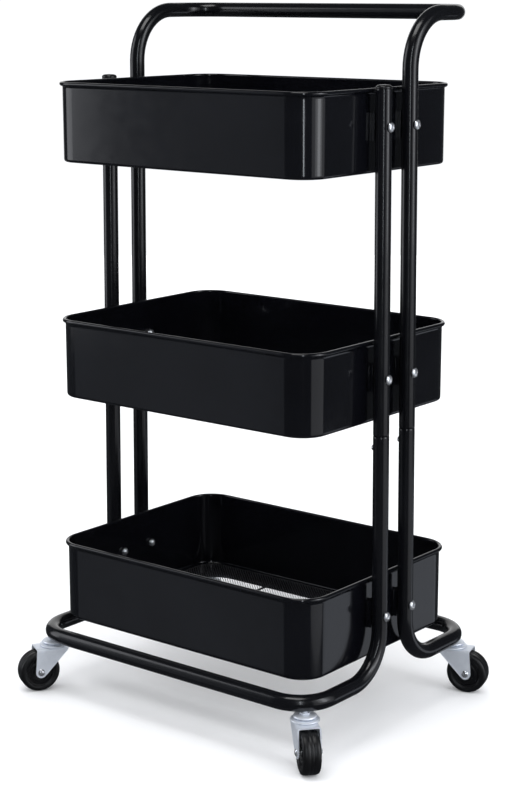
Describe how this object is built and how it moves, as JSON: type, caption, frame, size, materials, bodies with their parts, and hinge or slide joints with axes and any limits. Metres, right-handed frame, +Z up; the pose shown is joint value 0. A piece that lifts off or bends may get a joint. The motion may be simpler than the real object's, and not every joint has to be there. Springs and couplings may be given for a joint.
{
  "type": "wheeled utility cart",
  "caption": "Rolling utility cart with deep metal trays, mesh floors, tubular posts, a push handle and swivel casters.",
  "frame": {"origin": "middle of the footprint, on the floor under the casters", "axes": "+Z up, +X along the long side of the trays towards the right seen from the front, +Y towards the push handle at the rear"},
  "size_m": [0.4904, 0.375, 0.8598],
  "materials": {
    "black_powder_coat": "gloss powder coat",
    "black_wire_mesh": "powder-coated fine mesh",
    "zinc_plate": "bright zinc-plated stamping",
    "nickel_steel": "nickel-plated steel",
    "black_plastic": "moulded black plastic",
    "black_tyre": "smooth black tread"
  },
  "bodies": {
    "cart_frame": {"front_base_frame": "black_powder_coat", "rear_base_frame": "black_powder_coat", "handle_frame": "black_powder_coat", "front_post_left": "black_powder_coat", "front_post_right": "black_powder_coat", "front_post_cap_left": "black_plastic", "front_post_cap_right": "black_plastic", "bottom_tray": "black_powder_coat", "bottom_tray_mesh_floor": "black_wire_mesh", "bottom_bracket_left": "black_powder_coat", "bottom_bolt_front_left": "nickel_steel", "bottom_bolt_rear_left": "nickel_steel", "bottom_bracket_right": "black_powder_coat", "bottom_bolt_front_right": "nickel_steel", "bottom_bolt_rear_right": "nickel_steel", "middle_tray": "black_powder_coat", "middle_tray_mesh_floor": "black_wire_mesh", "middle_bracket_left": "black_powder_coat", "middle_bolt_front_left": "nickel_steel", "middle_bolt_rear_left": "nickel_steel", "middle_bracket_right": "black_powder_coat", "middle_bolt_front_right": "nickel_steel", "middle_bolt_rear_right": "nickel_steel", "top_tray": "black_powder_coat", "top_tray_mesh_floor": "black_wire_mesh", "top_bracket_left": "black_powder_coat", "top_bolt_front_left": "nickel_steel", "top_bolt_rear_left": "nickel_steel", "top_bracket_right": "black_powder_coat", "top_bolt_front_right": "nickel_steel", "top_bolt_rear_right": "nickel_steel", "joint_screw_front_left": "nickel_steel", "caster_front_left_stem": "zinc_plate", "joint_screw_front_right": "nickel_steel", "caster_front_right_stem": "zinc_plate", "joint_screw_rear_left": "nickel_steel", "caster_rear_left_stem": "zinc_plate", "joint_screw_rear_right": "nickel_steel", "caster_rear_right_stem": "zinc_plate"},
    "front_left_fork": {"caster_front_left_fork": "zinc_plate", "caster_front_left_axle": "nickel_steel"},
    "front_left_wheel": {"caster_front_left_hub": "black_plastic", "caster_front_left_tyre": "black_tyre"},
    "front_right_fork": {"caster_front_right_fork": "zinc_plate", "caster_front_right_axle": "nickel_steel"},
    "front_right_wheel": {"caster_front_right_hub": "black_plastic", "caster_front_right_tyre": "black_tyre"},
    "rear_left_fork": {"caster_rear_left_fork": "zinc_plate", "caster_rear_left_axle": "nickel_steel"},
    "rear_left_wheel": {"caster_rear_left_hub": "black_plastic", "caster_rear_left_tyre": "black_tyre"},
    "rear_right_fork": {"caster_rear_right_fork": "zinc_plate", "caster_rear_right_axle": "nickel_steel"},
    "rear_right_wheel": {"caster_rear_right_hub": "black_plastic", "caster_rear_right_tyre": "black_tyre"}
  },
  "joints": [
    {"name": "front_left_swivel", "type": "hinge", "parent": "cart_frame", "child": "front_left_fork", "pos_m": [-0.19976, -0.14429, 0.0553], "axis": [0, 0, 1], "continuous": true},
    {"name": "front_left_roll", "type": "hinge", "parent": "front_left_fork", "child": "front_left_wheel", "pos_m": [-0.20931, -0.16152, 0.0254], "axis": [0.8746, -0.4848, 0], "continuous": true},
    {"name": "front_right_swivel", "type": "hinge", "parent": "cart_frame", "child": "front_right_fork", "pos_m": [0.19976, -0.14429, 0.0553], "axis": [0, 0, 1], "continuous": true},
    {"name": "front_right_roll", "type": "hinge", "parent": "front_right_fork", "child": "front_right_wheel", "pos_m": [0.21463, -0.15721, 0.0254], "axis": [0.6561, 0.7547, 0], "continuous": true},
    {"name": "rear_left_swivel", "type": "hinge", "parent": "cart_frame", "child": "rear_left_fork", "pos_m": [-0.19976, 0.16523, 0.0553], "axis": [0, 0, 1], "continuous": true},
    {"name": "rear_left_roll", "type": "hinge", "parent": "rear_left_fork", "child": "rear_left_wheel", "pos_m": [-0.2187, 0.17066, 0.0254], "axis": [-0.2756, -0.9613, 0], "continuous": true},
    {"name": "rear_right_swivel", "type": "hinge", "parent": "cart_frame", "child": "rear_right_fork", "pos_m": [0.19976, 0.16523, 0.0553], "axis": [0, 0, 1], "continuous": true},
    {"name": "rear_right_roll", "type": "hinge", "parent": "rear_right_fork", "child": "rear_right_wheel", "pos_m": [0.2187, 0.17066, 0.0254], "axis": [-0.2756, 0.9613, 0], "continuous": true}
  ]
}
